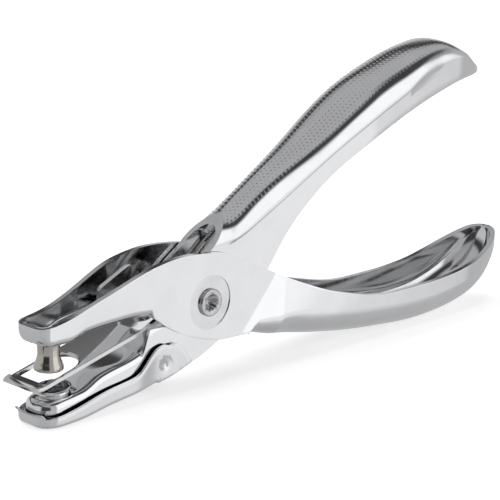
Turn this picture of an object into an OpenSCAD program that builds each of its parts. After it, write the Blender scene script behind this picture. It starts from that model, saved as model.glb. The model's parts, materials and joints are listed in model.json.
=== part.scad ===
// Single hole punch: two pressed steel levers crossed on a rivet, with a punch pin in the upper jaw,
// a die and a stripper plate on the lower jaw, a return spring on the rivet and a swing-down chip tray.
// Millimetres, +Z up, +X from the nose to the handles. The punch stands on its tray and lower handle.

/* [Sheet metal] */
// Thickness of the two levers' sheet
sheet_t = 1.2; // [0.9:0.05:1.4]
// Thickness of the chip tray's sheet
tray_t = 0.8; // [0.5:0.05:1]
// Thickness of the stripper plate
strip_t = 0.8; // [0.5:0.05:1]
// Side gap between sheets that slide past each other
side_gap = 0.3; // [0.2:0.05:0.5]

/* [Pivot] */
// Outside width across the pivot cheeks
cheek_w = 12.6; // [11.8:0.1:14]
// Diameter of the rivet's shank
rivet_d = 4.6; // [4:0.1:5]
// Diameter of the rivet's rolled heads
rivet_head_d = 6.1; // [5.6:0.1:7]
// Diameter of the coined ring around each rivet head
coin_d = 12; // [9:0.1:13]
// Depth of the coined ring
coin_depth = 0.2; // [0.1:0.05:0.3]
// Height of the cheek's crest above the pivot
cheek_crest = 11.1; // [10:0.1:12]
// Depth of the cheek's lower edge below the pivot
cheek_drop = 9.2; // [8.6:0.1:10]
// Height of the pivot above the table
pivot_h = 18.5; // [18:0.1:19.5]

/* [Punch and die] */
// Distance from the pivot to the punch pin's axis
jaw_reach = 39.4; // [37:0.1:43]
// Diameter of the punch pin's shank
pin_d = 5.2; // [4.6:0.1:5.6]
// Diameter of the punch pin's cutting head
cutter_d = 6.1; // [5.8:0.1:6.4]
// Length of the cutting head
cutter_len = 1.7; // [1.2:0.1:2.2]
// Length of the pin below the upper jaw
pin_drop = 4.7; // [4.2:0.1:5]
// Radial room around the cutting head in the die
die_gap = 0.25; // [0.2:0.01:0.4]
// Wall of the die ring at its rim
die_rim = 0.6; // [0.5:0.05:0.7]
// Height of the die's rim above the lower jaw
die_rise = 1.3; // [1:0.1:1.6]
// Angle through which the levers close
squeeze = 7.2; // [6.8:0.1:7.4]
// Depth that the cutting head enters the die when closed
bite = 0.9; // [0.6:0.1:1]

/* [Upper jaw] */
// Width of the upper jaw at its nose
nose_w = 9.5; // [9:0.1:10.5]
// Length of the upper jaw beyond the pin's axis
nose_over = 5.5; // [5:0.1:6]
// Height of the nose's rim above the pivot
nose_rim = 2.3; // [1.8:0.1:2.8]
// Depth of the nose's underside below the pivot
nose_drop = 3; // [2.6:0.1:3.2]
// Length of the stop lug that stands in the jaw
lug_len = 9.5; // [7:0.1:10]
// Height of the stop lug above the jaw's floor
lug_h = 8.4; // [7:0.1:8.8]

/* [Lower jaw] */
// Tilt of the lower jaw below the closed line
jaw_tilt = 13.7; // [13.4:0.1:14]
// Height of the mouth between the lower jaw and the stripper plate
mouth_h = 3.3; // [3:0.1:3.5]
// Height of the stripper plate's top above the closed line
strip_top = 1; // [0.8:0.1:1.2]
// Width of the stripper plate
strip_w = 9.2; // [8.6:0.1:9.4]
// Width of the slot in the stripper plate
slot_w = 6.8; // [6.7:0.1:7]
// Diameter of the stripper rivet's head
strip_rivet_d = 4; // [3.4:0.1:4.4]

/* [Handles] */
// Length of the lower handle from the pivot
low_reach = 103.4; // [96:0.2:112]
// Width of the lower handle
low_w = 16.8; // [15:0.1:18]
// Length of the upper handle from the pivot
top_reach = 91.4; // [86:0.2:100]
// Width of the upper handle
top_w = 15.6; // [14:0.1:17]
// Height of the upper handle's back above the pivot
top_rise = 48; // [46:0.2:50]

/* [Chip tray] */
// Distance from the pivot back to the tray's hinge
hinge_back = 12.1; // [11.8:0.1:12.6]
// Depth of the tray's hinge below the pivot
hinge_drop = 11.6; // [11.4:0.1:11.9]
// Diameter of the tray's hinge dimples
dimple_d = 2; // [1.6:0.1:2.2]
// Running gap around a hinge pin
run_gap = 0.05; // [0.03:0.01:0.09]

/* [Return spring] */
// Diameter of the spring's wire
wire_d = 1.3; // [1:0.05:1.4]
// Room between the coil and the rivet's shank
coil_gap = 0.35; // [0.3:0.05:0.6]
// Room between neighbouring coils
turn_gap = 0.9; // [0.6:0.05:0.95]

/* [Hidden] */
$fn = 64;

chrome = "#d9dbde";
nickel = "#c4bba9";

// Gap between pieces of one body that are pressed or riveted together
seat_gap = 0.02;
// Gap under the stripper plate where it is riveted to the lower jaw's pad
pad_gap = 0.1;
// Corner steps of a channel's section
arc_steps = 5;
// Bluntness of the handles' rounded ends, in plan and in side view
low_blunt = 2.2;
top_blunt = 2.5;
side_blunt = 2.1;
// Rounding of a bare wall's edge, where a web is cut away
edge_round = 0.15;

cheek_half = cheek_w/2;
die_half = cheek_half - sheet_t - side_gap;
tray_half = die_half + side_gap + tray_t;

pin_x = -jaw_reach;
nose_x = pin_x - nose_over;
nose_half = nose_w/2;
nose_corner = 3;
nose_round = 3;
throat_x = -16.8;
throat_z = 0.3;
window_end = 13;
pin_tip = -nose_drop - pin_drop;
pin_neck = pin_d - 2.2;
pin_head = pin_d - 1.7;
pin_seat = 0.4;

// Lengths over which the handles' ends are rounded, in plan and in side view
low_plan = 18.8;
low_side = 24;
top_plan = 13;
top_side = 7.4;
low_sag = 8.7;

die_bore = cutter_d/2 + die_gap;
die_r = die_bore + die_rim;
die_h = die_rise + sheet_t;
die_nose_half = 4.6;
die_nose_corner = 3.6;
die_nose_round = 1.6;

// Turns a point of the closed lower jaw by an angle, nose downwards
function turned(p, angle) = [p[0]*cos(angle) - p[1]*sin(angle), p[0]*sin(angle) + p[1]*cos(angle)];
// Point of the lower jaw, given along and above the closed line
function jaw(x, z) = turned([x, z], jaw_tilt);

// Die rim's centre, in line with the pin half way through the bite
half_bite = asin(bite/2/jaw_reach);
die_top = turned([pin_x, pin_tip + bite/2], squeeze - half_bite);
die_tilt = squeeze - half_bite;
// Point of the die's own frame, along and above its rim
function on_die(x, z) = die_top + turned([x, z], die_tilt);

web_top = strip_top - strip_t - mouth_h;
pad_top = strip_top - strip_t - pad_gap;
strip_rivet_x = -13.8;
pad_front = -16.4;
pad_rear = -11.4;
ramp_foot = -19.4;
die_nose_x = die_top[0] - die_r - 1.6;

tray_front = die_nose_x - side_gap - tray_t - 0.3;
tray_hinge = [-hinge_back, -hinge_drop];
tray_floor_end = -hinge_back - 2;
tray_swing = 6.7;
tray_rim = -16.1;
tray_lip = 0.9;
lip_end = tray_front + 3;
tray_corner = 4.8;
tray_round = 1.4;

coil_r = (rivet_d/2 + coil_gap + wire_d/2)/cos(22.5);
turn_pitch = wire_d + turn_gap;

// Curves read along X

function clamp01(t) = min(1, max(0, t));
function smooth(t) = clamp01(t)*clamp01(t)*(3 - 2*clamp01(t));
function mix(a, b, t) = a + (b - a)*t;
function sign_of(v) = v < 0 ? -1 : 1;

// Number of the stretch of the points p in which x lies
function stretch(p, x, i = 0) = i >= len(p) - 2 || x < p[i + 1][0] ? i : stretch(p, x, i + 1);
function rise(p, i) = (p[i + 1][1] - p[i][1])/(p[i + 1][0] - p[i][0]);
// Slope at a point: the harmonic mean of its neighbours, so that the curve never overshoots
function slope(p, i) =
    i == 0 ? rise(p, 0) :
    i == len(p) - 1 ? rise(p, i - 1) :
    let (a = rise(p, i - 1), b = rise(p, i))
    a*b <= 0 ? 0 : 2*a*b/(a + b);
// Smooth height at x of a curve through the points p
function curve(p, x) =
    let (i = stretch(p, x), h = p[i + 1][0] - p[i][0], t = clamp01((x - p[i][0])/h))
    (2*pow(t, 3) - 3*t*t + 1)*p[i][1] + (pow(t, 3) - 2*t*t + t)*h*slope(p, i)
    + (3*t*t - 2*pow(t, 3))*p[i + 1][1] + (pow(t, 3) - t*t)*h*slope(p, i + 1);
function steepness(p, x) = (curve(p, x + 0.2) - curve(p, x - 0.2))/0.4;
// Sheet thickness measured straight up on a sloping web, held back on steep steps
function upright(p, x, t) = t*min(1.35, sqrt(1 + pow(steepness(p, x), 2)));
// Round end of a channel: 1 on the body, 0 at the end, over a length
function end_round(d, length, blunt) =
    d >= length ? 1 : d <= 0 ? 0 : pow(1 - pow(1 - d/length, blunt), 1/blunt);
// Inset of a quarter round at a distance from an end
function quarter(d, r) = d >= r ? 0 : r - sqrt(max(0, r*r - pow(r - max(d, 0), 2)));

// Bent channels

// Half of a channel's section, from its open edge down the near wall and round the corner to the web
function half_path(edge, middle, wall, web, rx, rz) =
    let (s = sign_of(edge[1] - web))
    concat([[-edge[0], edge[1]], [-middle[0], middle[1]]],
           [for (i = [0:arc_steps]) let (a = 90*i/arc_steps)
               [-(wall - rx) - rx*cos(a), web + s*rz*(1 - sin(a))]]);
function full_path(half) =
    concat(half, [for (i = [len(half) - 1:-1:0]) [-half[i][0], half[i][1]]]);
// Closed-off stretch of a channel: the inner path lies flat across the open edges
function flat_path(edge, count) =
    [for (i = [0:count - 1]) [mix(-edge[0], edge[0], i/(count - 1)), edge[1]]];
function backwards(p) = [for (i = [len(p) - 1:-1:0]) p[i]];
function section(x, outer, inner) =
    [for (q = concat(outer, backwards(inner))) [x, q[0], q[1]]];

function quad(a, b, c, d) = [[a, b, c], [a, c, d]];
path_n = 2*(arc_steps + 3);
ring_n = 2*path_n;
wall_i = 2;
function twin(k) = ring_n - 1 - k;
function ring_edges() = [for (k = [0:ring_n - 1]) [k, (k + 1) % ring_n]];
// Edges of the two bare walls where the web is cut away
function wall_edges() =
    let (f = path_n - 1 - wall_i)
    concat([for (k = [0:wall_i - 1]) [k, k + 1]], [[wall_i, twin(wall_i)]],
           [for (k = [twin(wall_i):ring_n - 2]) [k, k + 1]], [[ring_n - 1, 0]],
           [for (k = [f:path_n - 2]) [k, k + 1]], [[path_n - 1, path_n]],
           [for (k = [path_n:twin(f) - 1]) [k, k + 1]], [[twin(f), f]]);
function cap_range(web_only, walls_only) =
    web_only ? [for (k = [wall_i:path_n - 2 - wall_i]) k] :
    walls_only ? concat([for (k = [0:wall_i - 1]) k], [for (k = [path_n - 1 - wall_i:path_n - 2]) k]) :
    [for (k = [0:path_n - 2]) k];
// End face between the outer and the inner path, split alike on both halves
function cap(at, ks, end) =
    [for (k = ks)
        for (f = k < path_n/2 - 1 ? quad(at + k + 1, at + twin(k + 1), at + twin(k), at + k)
                                  : quad(at + k, at + k + 1, at + twin(k + 1), at + twin(k)))
        end ? backwards(f) : f];

// Sheet channel through sections, with the web cut away in the stretches from cut_a to cut_b
module channel(sections, cut_a, cut_b, flip = false) {
    last = len(sections) - 1;
    walls_start = cut_a <= 0;
    walls_end = cut_b >= last;
    sides = [for (i = [0:last - 1])
        for (e = i >= cut_a && i < cut_b ? wall_edges() : ring_edges())
        for (f = quad(i*ring_n + e[0], (i + 1)*ring_n + e[0], (i + 1)*ring_n + e[1], i*ring_n + e[1])) f];
    caps = concat(
        cap(0, cap_range(false, walls_start), false),
        cap(last*ring_n, cap_range(false, walls_end), true),
        walls_start || cut_a >= last ? [] : cap(cut_a*ring_n, cap_range(true, false), true),
        walls_end || cut_b <= 0 ? [] : cap(cut_b*ring_n, cap_range(true, false), false));
    faces = concat(sides, caps);
    polyhedron([for (s = sections) each s], flip ? [for (f = faces) backwards(f)] : faces);
}

// Places where the stretches of a channel are cut into sections
function steps(a, b, n) = [for (i = [0:n - 1]) mix(a, b, i/n)];
// Sections towards a rounded end, closer together near it
function end_steps(a, b, n) = [for (i = [1:n]) mix(a, b, sin(90*i/n))];

// Punch lever: upper jaw and lower handle, a channel open upwards

punch_edge = [
    [nose_x, nose_rim], [pin_x + 1, nose_rim + 0.9], [pin_x + 10, nose_rim + 3.8], [-16.2, cheek_crest - 0.9],
    [-8, cheek_crest], [3, cheek_crest - 1.1], [13.3, 6], [25.5, 0.3], [40, -5.1], [58.3, -low_sag + 0.1],
    [70, -low_sag], [low_reach - 23.4, -low_sag + 0.5], [low_reach - 15.4, -6.9], [low_reach - 6, -3.9],
    [low_reach, -1.1]];
punch_web_jaw = [
    [nose_x, -nose_drop], [pin_x + 3, -nose_drop], [pin_x + 8.4, -1.3], [-24, -0.5], [throat_x, throat_z]];
punch_web_cheek = [
    [throat_x, throat_z], [-12.1, -3.1], [-6.5, -cheek_drop + 3], [-0.7, -cheek_drop + 1],
    [5, -cheek_drop], [10, -cheek_drop - 0.1], [20.2, -11.7], [34.4, -14.6], [52.4, -17.2],
    [71, -pivot_h], [low_reach - 15, -pivot_h + 1.4], [low_reach, -pivot_h + 2.8]];

function punch_web_line(x) = x <= throat_x ? punch_web_jaw : punch_web_cheek;
// Half width of the punch lever; the wall bends outwards along a slanting line behind the cheek
function punch_half(x, z) =
    let (bend = mix(9.5, 20, clamp01((z + cheek_drop)/11.7)))
    x < throat_x ? mix(nose_half, cheek_half, smooth((x - pin_x - 4)/(throat_x - pin_x - 5)))
                 : mix(cheek_half, low_w/2, smooth((x - bend)/(26 - bend)));
function punch_round(x) = x < throat_x ? 1.9 : mix(0.5, 6, smooth((x - 6)/24));
function punch_bare(x) = x > throat_x && x < window_end;
// Section of the punch lever, drawn in by a thickness
function punch_path(x, t) =
    let (d_nose = x - nose_x - t,
         plan = end_round(low_reach - t - x, low_plan - t, low_blunt),
         edge_z = curve(punch_edge, x),
         corner = quarter(d_nose, nose_corner - t/2),
         lift = t == 0 || punch_bare(x) ? 0 : upright(punch_web_line(x), x, t),
         web = curve(punch_web_line(x), x) + lift + quarter(d_nose, nose_round - t/2),
         web_z = edge_z - (edge_z - web)*end_round(low_reach - t - x, low_side - t, side_blunt),
         wall = (punch_half(x, web_z) - t - corner)*plan,
         bend = punch_bare(x) ? edge_round : punch_round(x) - t,
         r = max(edge_round, min(bend, wall - 0.3, (edge_z - web_z)*0.8)),
         mid_z = (edge_z + web_z + r)/2)
    full_path(half_path([(punch_half(x, edge_z) - t - corner)*plan, edge_z],
                        [(punch_half(x, mid_z) - t - corner)*plan, mid_z], wall, web_z, r, r));
function punch_section(x) =
    let (edge = [max((punch_half(x, 0) - sheet_t)*end_round(low_reach - x, low_plan, low_blunt)
                     - quarter(x - nose_x, nose_corner), 0.1), curve(punch_edge, x)],
         open = x > nose_x + sheet_t - 0.01 && x < low_reach - sheet_t - 0.3)
    section(x, punch_path(x, 0), open ? punch_path(x, sheet_t) : flat_path(edge, path_n));

punch_front = concat(steps(nose_x, nose_x + sheet_t, 4), [nose_x + sheet_t - 0.05],
    steps(nose_x + sheet_t, nose_x + 3.2, 3), steps(nose_x + 3.2, throat_x, 7), [throat_x]);
punch_rear = concat([throat_x + 0.15], steps(throat_x + 1.2, window_end, 10), [window_end]);
punch_grip = concat(steps(window_end + 1.4, 26, 6), steps(26, low_reach - low_side, 10),
    [low_reach - low_side], end_steps(low_reach - low_side, low_reach - sheet_t - 0.5, 8),
    [low_reach - sheet_t - 0.2, low_reach - 0.5, low_reach - 0.12, low_reach - 0.01]);

// Stop lug, folded up from the upper jaw's floor
lug_rear = throat_x + 1.2;
lug_front = lug_rear - lug_len;
lug_foot = throat_x - 0.2;
lug_t = sheet_t - 0.2;
lug_y = 0.9;
module stop_lug() {
    top = throat_z + sheet_t + lug_h;
    brow = top - lug_len/3;
    translate([0, lug_y + lug_t, 0]) rotate([90, 0, 0]) linear_extrude(lug_t)
        polygon([[lug_front, in_floor(lug_front)], [lug_foot, in_floor(lug_foot)], [lug_foot, throat_z + 2],
                 [lug_rear, throat_z + 3], [lug_rear - 0.6, top], [lug_rear - 1.6, top + 0.2],
                 [lug_front + 0.8, brow], [lug_front, brow - 0.8]]);
}
// Height half way into the thickness of the upper jaw's floor
function in_floor(x) = curve(punch_web_jaw, x) + sheet_t/2;

module punch_lever_shape() {
    all = concat(punch_front, punch_rear, punch_grip);
    channel([for (x = all) punch_section(x)], len(punch_front) - 1, len(punch_front) + len(punch_rear) - 1);
}

module punch_lever() {
    color(chrome) at_pivot() difference() {
        union() {
            punch_lever_shape();
            stop_lug();
        }
        across(cheek_w + 1, rivet_d + 2*seat_gap);
        for (side = [-1, 1])
            translate([0, side*(cheek_half - coin_depth + 1), 0]) across(2, coin_d);
        translate([pin_x, 0, -nose_drop - 1]) cylinder(d = pin_neck + 2*seat_gap, h = sheet_t + 4);
        translate([pin_x, 0, -nose_drop - 2]) cylinder(d = pin_d + 2*seat_gap, h = 2 + pin_seat);
        translate([pin_x, 0, -nose_drop + sheet_t]) cylinder(d = pin_head + 2*seat_gap, h = 4);
    }
}

// Die lever: lower jaw and upper handle, a channel open downwards

neck_end = 9;
die_web_line = [
    on_die(-9, -die_rise), on_die(4, -die_rise), jaw(pin_x + 8.6, web_top), jaw(ramp_foot, web_top),
    jaw(pad_front, pad_top), jaw(pad_rear, pad_top), [-5.8, 5.6], [1.1, 10.6], [6.2, 13.8], [neck_end, 16.9],
    [20.5, 21.9], [31.5, 29.3], [48.8, 39.7], [61, top_rise - 3.8], [72, top_rise - 0.6],
    [top_reach - 13, top_rise], [top_reach - 6, top_rise - 4.4], [top_reach, top_rise - 6.5]];
die_edge = [
    [die_nose_x, -pivot_h + tray_t + 1.2], [-34, -pivot_h + tray_t + 1.3], [-20, -15.1],
    [-hinge_back, -hinge_drop - dimple_d/2 - 1.1], [-3.9, -12.9], [4, -9.8], [12, -4], [19.4, 4.1], [23, 9.3],
    [27, 14], [36.8, 22.3], [46.3, 27.4], [61.3, 33.6], [71.7, 37], [81.7, 39.4], [top_reach, 40.2]];
neck_front = jaw(pad_rear, pad_top)[0];

function die_half_at(x) =
    x < neck_front ? mix(die_nose_half, die_half, smooth((x - die_nose_x - 6)/16))
                   : mix(die_half, top_w/2, smooth((x - 15)/36));
// Corner of the die lever's section: a bend at the jaw, an arched back along the handle
function arch(x) = smooth((x - neck_end + 6)/8);
function die_bare(x) = x > neck_front && x < neck_end;
// Section of the die lever, drawn in by a thickness
function die_path(x, t) =
    let (d_nose = x - die_nose_x - t,
         edge_z = curve(die_edge, x),
         corner = quarter(d_nose, die_nose_corner - t/2),
         drop = t == 0 || die_bare(x) ? 0 : upright(die_web_line, x, t),
         web = curve(die_web_line, x) - drop - quarter(d_nose, die_nose_round),
         web_z = edge_z + (web - edge_z)*end_round(top_reach - t - x, top_side - t, side_blunt),
         half = (die_half_at(x) - t - corner)*end_round(top_reach - t - x, top_plan - t, top_blunt),
         bend = max(0.2, 1.8 - t),
         back = mix(4.8, 6, smooth((x - 10)/30)),
         rx = die_bare(x) ? edge_round : min(half - 0.2, mix(bend, half - 0.35, arch(x))),
         rz = die_bare(x) ? edge_round : min((web_z - edge_z)*0.8, mix(bend, back, arch(x))))
    full_path(half_path([half, edge_z], [half, (edge_z + web_z - rz)/2], half, web_z, rx, rz));
function die_section(x) =
    let (edge = [max((die_half_at(x) - sheet_t)*end_round(top_reach - x, top_plan, top_blunt)
                     - quarter(x - die_nose_x, die_nose_corner), 0.1), curve(die_edge, x)],
         open = x > die_nose_x + sheet_t - 0.01 && x < top_reach - sheet_t - 0.3)
    section(x, die_path(x, 0), open ? die_path(x, sheet_t) : flat_path(edge, path_n));

die_front = concat(steps(die_nose_x, die_nose_x + sheet_t, 4), [die_nose_x + sheet_t - 0.05],
    steps(die_nose_x + sheet_t, die_nose_x + 4.2, 4), steps(die_nose_x + 4.2, jaw(ramp_foot, web_top)[0], 6),
    steps(jaw(ramp_foot, web_top)[0], jaw(pad_front, pad_top)[0], 4),
    steps(jaw(pad_front, pad_top)[0], neck_front, 2), [neck_front]);
die_neck = concat([neck_front + 0.15], steps(neck_front + 1.5, neck_end, 8), [neck_end]);
die_grip = concat(steps(neck_end + 1.5, 26, 7), steps(26, top_reach - top_plan - 3, 10),
    steps(top_reach - top_plan - 3, top_reach - top_side, 5),
    [top_reach - top_side], end_steps(top_reach - top_side, top_reach - sheet_t - 0.5, 6),
    [top_reach - sheet_t - 0.2, top_reach - 0.5, top_reach - 0.12, top_reach - 0.01]);

module die_lever() {
    all = concat(die_front, die_neck, die_grip);
    color(chrome) at_pivot() difference() {
        channel([for (x = all) die_section(x)], len(die_front) - 1,
                len(die_front) + len(die_neck) - 1, flip = true);
        across(cheek_w, rivet_d + 2*run_gap);
        translate([tray_hinge[0], 0, tray_hinge[1]]) across(cheek_w, dimple_d + 2*run_gap);
        at_die() translate([0, 0, -die_h]) cylinder(r = die_r + seat_gap, h = die_h + 3);
        at_die() translate([0, 0, -die_h - 3]) cylinder(r = die_bore, h = 6);
        in_jaw(strip_rivet_x, pad_top) translate([0, 0, -4]) cylinder(d = strip_rivet_shank + 2*seat_gap, h = 8);
    }
}

// Rivets, pin and die

module pivot_rivet() {
    head_h = 0.7;
    seat = cheek_half - coin_depth;
    color(nickel) at_pivot() rotate([90, 0, 0]) difference() {
        union() {
            cylinder(d = rivet_d, h = 2*seat, center = true);
            for (side = [0, 1]) mirror([0, 0, side]) translate([0, 0, seat + seat_gap]) rivet_head(rivet_head_d, head_h);
            cylinder(d = rivet_d, h = 2*(seat + seat_gap + 0.1), center = true);
        }
        for (side = [0, 1]) mirror([0, 0, side]) translate([0, 0, seat + head_h - 1.6]) {
            cylinder(d = rivet_d - 2, h = 4);
            for (i = [0:2]) rotate(60*i + 15) cube([rivet_d - 0.9, 0.9, 8], center = true);
        }
    }
}

// Rolled head: a flat round button with a rounded rim
module rivet_head(d, h) {
    rotate_extrude() {
        square([d/2 - h/2, h]);
        translate([d/2 - h/2, h/2]) circle(d = h, $fn = 24);
        translate([d/2 - h/2, 0]) square([h/2 - 0.05, h/2]);
    }
}

module punch_pin() {
    floor_z = -nose_drop;
    head_z = floor_z + sheet_t + seat_gap;
    color(nickel) at_pivot() translate([pin_x, 0, 0]) {
        translate([0, 0, pin_tip + cutter_len]) cylinder(d = pin_d, h = floor_z + pin_seat - pin_tip - cutter_len);
        translate([0, 0, pin_tip + 0.9]) cylinder(d1 = cutter_d, d2 = pin_d, h = cutter_len - 0.9);
        translate([0, 0, pin_tip + 0.15]) cylinder(d = cutter_d, h = 0.75);
        translate([0, 0, pin_tip]) cylinder(d1 = cutter_d - 0.3, d2 = cutter_d, h = 0.15);
        translate([0, 0, floor_z]) cylinder(d = pin_neck, h = sheet_t + 0.6);
        translate([0, 0, head_z]) rivet_head(pin_head, 1);
    }
}

module die_ring() {
    waist = 0.35;
    color(chrome) at_pivot() at_die() rotate_extrude() difference() {
        translate([die_bore, -die_h]) square([die_rim, die_h]);
        translate([die_r + die_rise*0.45 - waist + 0.1, -die_rise*0.55]) circle(r = die_rise*0.45, $fn = 40);
    }
}

// Stripper plate: flat frame over the lower jaw with a turned-up front lip and two folded side flanges

strip_front = pin_x - 6.4;
strip_rear = -11.9;
slot_front = pin_x - cutter_d/2 - 1.2;
slot_rear = pin_x + 8.2;
// Front lip: a tongue that curls up through an angle on a radius
lip_r = 6.4;
lip_turn = 72;
lip_rise = lip_r*(1 - cos(lip_turn));
lip_reach = lip_r*sin(lip_turn);
strip_rivet_shank = 2.2;
flange_front = slot_rear + 1;
flange_rear = -20.2;
module stripper_plate() {
    half = strip_w/2;
    under = strip_top - strip_t;
    color(chrome) at_pivot() tilted() difference() {
        union() {
            translate([0, 0, under]) linear_extrude(strip_t) strip_outline(half);
            intersection() {
                translate([strip_front, half, under]) rotate([90, 0, 0]) linear_extrude(strip_w) lip_profile();
                translate([strip_front, 0, under]) linear_extrude(lip_rise + 2*strip_t) lip_outline(half);
            }
            for (side = [-1, 1]) translate([0, side*(half - strip_t/2) + strip_t/2, 0]) rotate([90, 0, 0])
                linear_extrude(strip_t) polygon([[flange_front - 2.6, under + 0.1], [flange_front, web_top + 0.1],
                    [flange_rear - 0.6, web_top + 0.1], [flange_rear + 1.2, under + 0.1]]);
        }
        translate([0, 0, under - 1]) linear_extrude(strip_t + 2) {
            translate([slot_rear - slot_w/2, 0]) circle(d = slot_w);
            translate([slot_front, -slot_w/2]) square([slot_rear - slot_w/2 - slot_front, slot_w]);
        }
        translate([strip_rivet_x, 0, under - 1]) cylinder(d = strip_rivet_shank + 2*seat_gap, h = strip_t + 2);
    }
}
module strip_outline(half) {
    rear = 3.4;
    translate([strip_front, -half]) square([slot_rear + 12 - strip_front, 2*half]);
    polygon([[slot_rear + 12, half], [strip_rear, rear], [strip_rear, -rear], [slot_rear + 12, -half]]);
}
// Curl of sheet, from the plate's front edge upwards
module lip_profile() {
    difference() {
        translate([0, lip_r]) circle(r = lip_r);
        translate([0, lip_r]) circle(r = lip_r - strip_t);
        translate([0, -1]) square([2*lip_r, 3*lip_r]);
        translate([-2*lip_r, lip_rise]) square([4*lip_r, 3*lip_r]);
    }
}
module lip_outline(half) {
    scale([lip_reach/half, 1]) circle(r = half);
    translate([0, -half]) square([1, 2*half]);
}

module stripper_rivet() {
    tail = 0.7;
    color(nickel) at_pivot() in_jaw(strip_rivet_x, strip_top) {
        translate([0, 0, -strip_t - sheet_t - 0.4]) cylinder(d = strip_rivet_shank, h = strip_t + sheet_t + 0.6);
        translate([0, 0, seat_gap]) rivet_head(strip_rivet_d, 0.6);
        translate([0, 0, -strip_t - sheet_t*1.2 - tail - seat_gap]) rivet_head(strip_rivet_d - 0.6, tail);
    }
}

// Chip tray: shallow channel under the lower jaw that swings down on two dimples

tray_edge = [
    [tray_front, tray_rim + tray_lip], [lip_end - 0.4, tray_rim + tray_lip - 0.1],
    [lip_end + 0.6, tray_rim - 0.1], [-37.7, -15.6], [-28, -13.3], [-21, -12.4], [-18.9, -11.6],
    [-15.4, -8.5], [-13.8, -7.5], [-11.5, -7.2], [-8.6, -7.6], [-6.9, -9.2], [-hinge_back + tray_swing, -12]];
tray_web = [
    [tray_front, -pivot_h], [-37, -pivot_h], [-26.6, -17.1], [-19.5, -16.3], [-hinge_back, -14.9],
    [-8.4, -13.9], [-hinge_back + tray_swing, -12.4]];
// Section of the tray, drawn in by a thickness; behind its floor it is two bare ears
function tray_path(x, t) =
    let (d_nose = x - tray_front - t,
         bare = x > tray_floor_end,
         edge_z = curve(tray_edge, x),
         corner = quarter(d_nose, tray_corner - t/2),
         web_z = min(edge_z - 0.4, curve(tray_web, x) + (bare ? 0 : t) + quarter(d_nose, tray_round)),
         half = tray_half - t - corner,
         bend = bare ? edge_round : max(edge_round, 1.2 - t),
         r = min(bend, (edge_z - web_z)*0.4))
    full_path(half_path([half, edge_z], [half, (edge_z + web_z + r)/2], half, web_z, r, r));
function tray_section(x) =
    let (edge = [tray_half - tray_t - quarter(x - tray_front, tray_corner), curve(tray_edge, x)],
         open = x > tray_front + tray_t - 0.01)
    section(x, tray_path(x, 0), open ? tray_path(x, tray_t) : flat_path(edge, path_n));
tray_floor = concat(steps(tray_front, tray_front + tray_t, 3), [tray_front + tray_t - 0.05],
    steps(tray_front + tray_t, tray_front + 3.6, 3), steps(tray_front + 3.6, tray_floor_end, 8),
    [tray_floor_end]);
tray_ears = concat([tray_floor_end + 0.15],
    steps(tray_floor_end + 1, -hinge_back + tray_swing, 7), [-hinge_back + tray_swing]);

module chip_tray() {
    all = concat(tray_floor, tray_ears);
    color(chrome) at_pivot() difference() {
        union() {
            channel([for (x = all) tray_section(x)], len(tray_floor) - 1, len(all) - 1);
            translate([tray_front, lip_half, tray_rim + tray_lip]) rotate([90, 0, 0]) linear_extrude(2*lip_half) thumb_lip();
            for (side = [-1, 1]) hinge_dimple(side)
                translate([0, 0, 0.1]) cylinder(d = dimple_d, h = tray_t + side_gap + sheet_t - 0.4);
        }
        for (side = [-1, 1]) hinge_dimple(side) translate([0, 0, -0.01])
            cylinder(d1 = dimple_d + 0.3, d2 = dimple_d*0.4, h = tray_t + side_gap + 0.2);
    }
}
// Hooked lip that a thumb nail pulls down, curled forward from the tray's front rim
lip_half = 2.5;
hook_r = 0.9;
hook_t = 0.55;
module thumb_lip() {
    translate([0.1, -0.5]) square([hook_t, 0.8]);
    translate([0.1 + hook_t - hook_r, 0.25]) intersection() {
        difference() {
            circle(r = hook_r, $fn = 32);
            circle(r = hook_r - hook_t, $fn = 32);
        }
        translate([-hook_r/2, 0]) square([2*hook_r, 2*hook_r]);
    }
}
// Starts at the tray's outer face, along the hinge axis into the wall
module hinge_dimple(side) {
    translate([tray_hinge[0], side*tray_half, tray_hinge[1]]) rotate([side*90, 0, 0]) children();
}

// Return spring: one wire coiled on the rivet, with an arm under each handle

wire_sides = 6;
curl_rings = 8;
arm_rings = 3;
whole_turns = 2;
// Ends of the two arms, under the upper handle's back and on the lower handle's floor
arm_up = [12.4, 14.1];
arm_low = [30, -11.5];
// Direction of an arm that leaves the coil on one side and ends at p
function arm_angle(p, side) =
    atan2(p[1], p[0]) - side*atan2(coil_r, sqrt(p[0]*p[0] + p[1]*p[1] - coil_r*coil_r));
start_angle = arm_angle(arm_low, -1) - 90;
leave_angle = arm_angle(arm_up, 1) + 90;
coil_sweep = (start_angle - leave_angle + 720) % 360 + 360*whole_turns;
coil_y = turn_pitch*coil_sweep/720;
coil_count = ceil(coil_sweep*curl_rings/360);
coil_points = [for (i = [0:coil_count]) let (f = i/coil_count, a = start_angle - coil_sweep*f)
    [coil_r*cos(a), mix(-coil_y, coil_y, f), coil_r*sin(a)]];
function arm_points(p, y, from) = [for (i = [0:arm_rings - 1]) mix([p[0], y, p[1]], from, i/arm_rings)];
wire_points = concat(arm_points(arm_low, -coil_y, coil_points[0]), coil_points,
    backwards(arm_points(arm_up, coil_y, coil_points[coil_count])));
function unit(v) = v/norm(v);
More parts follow.
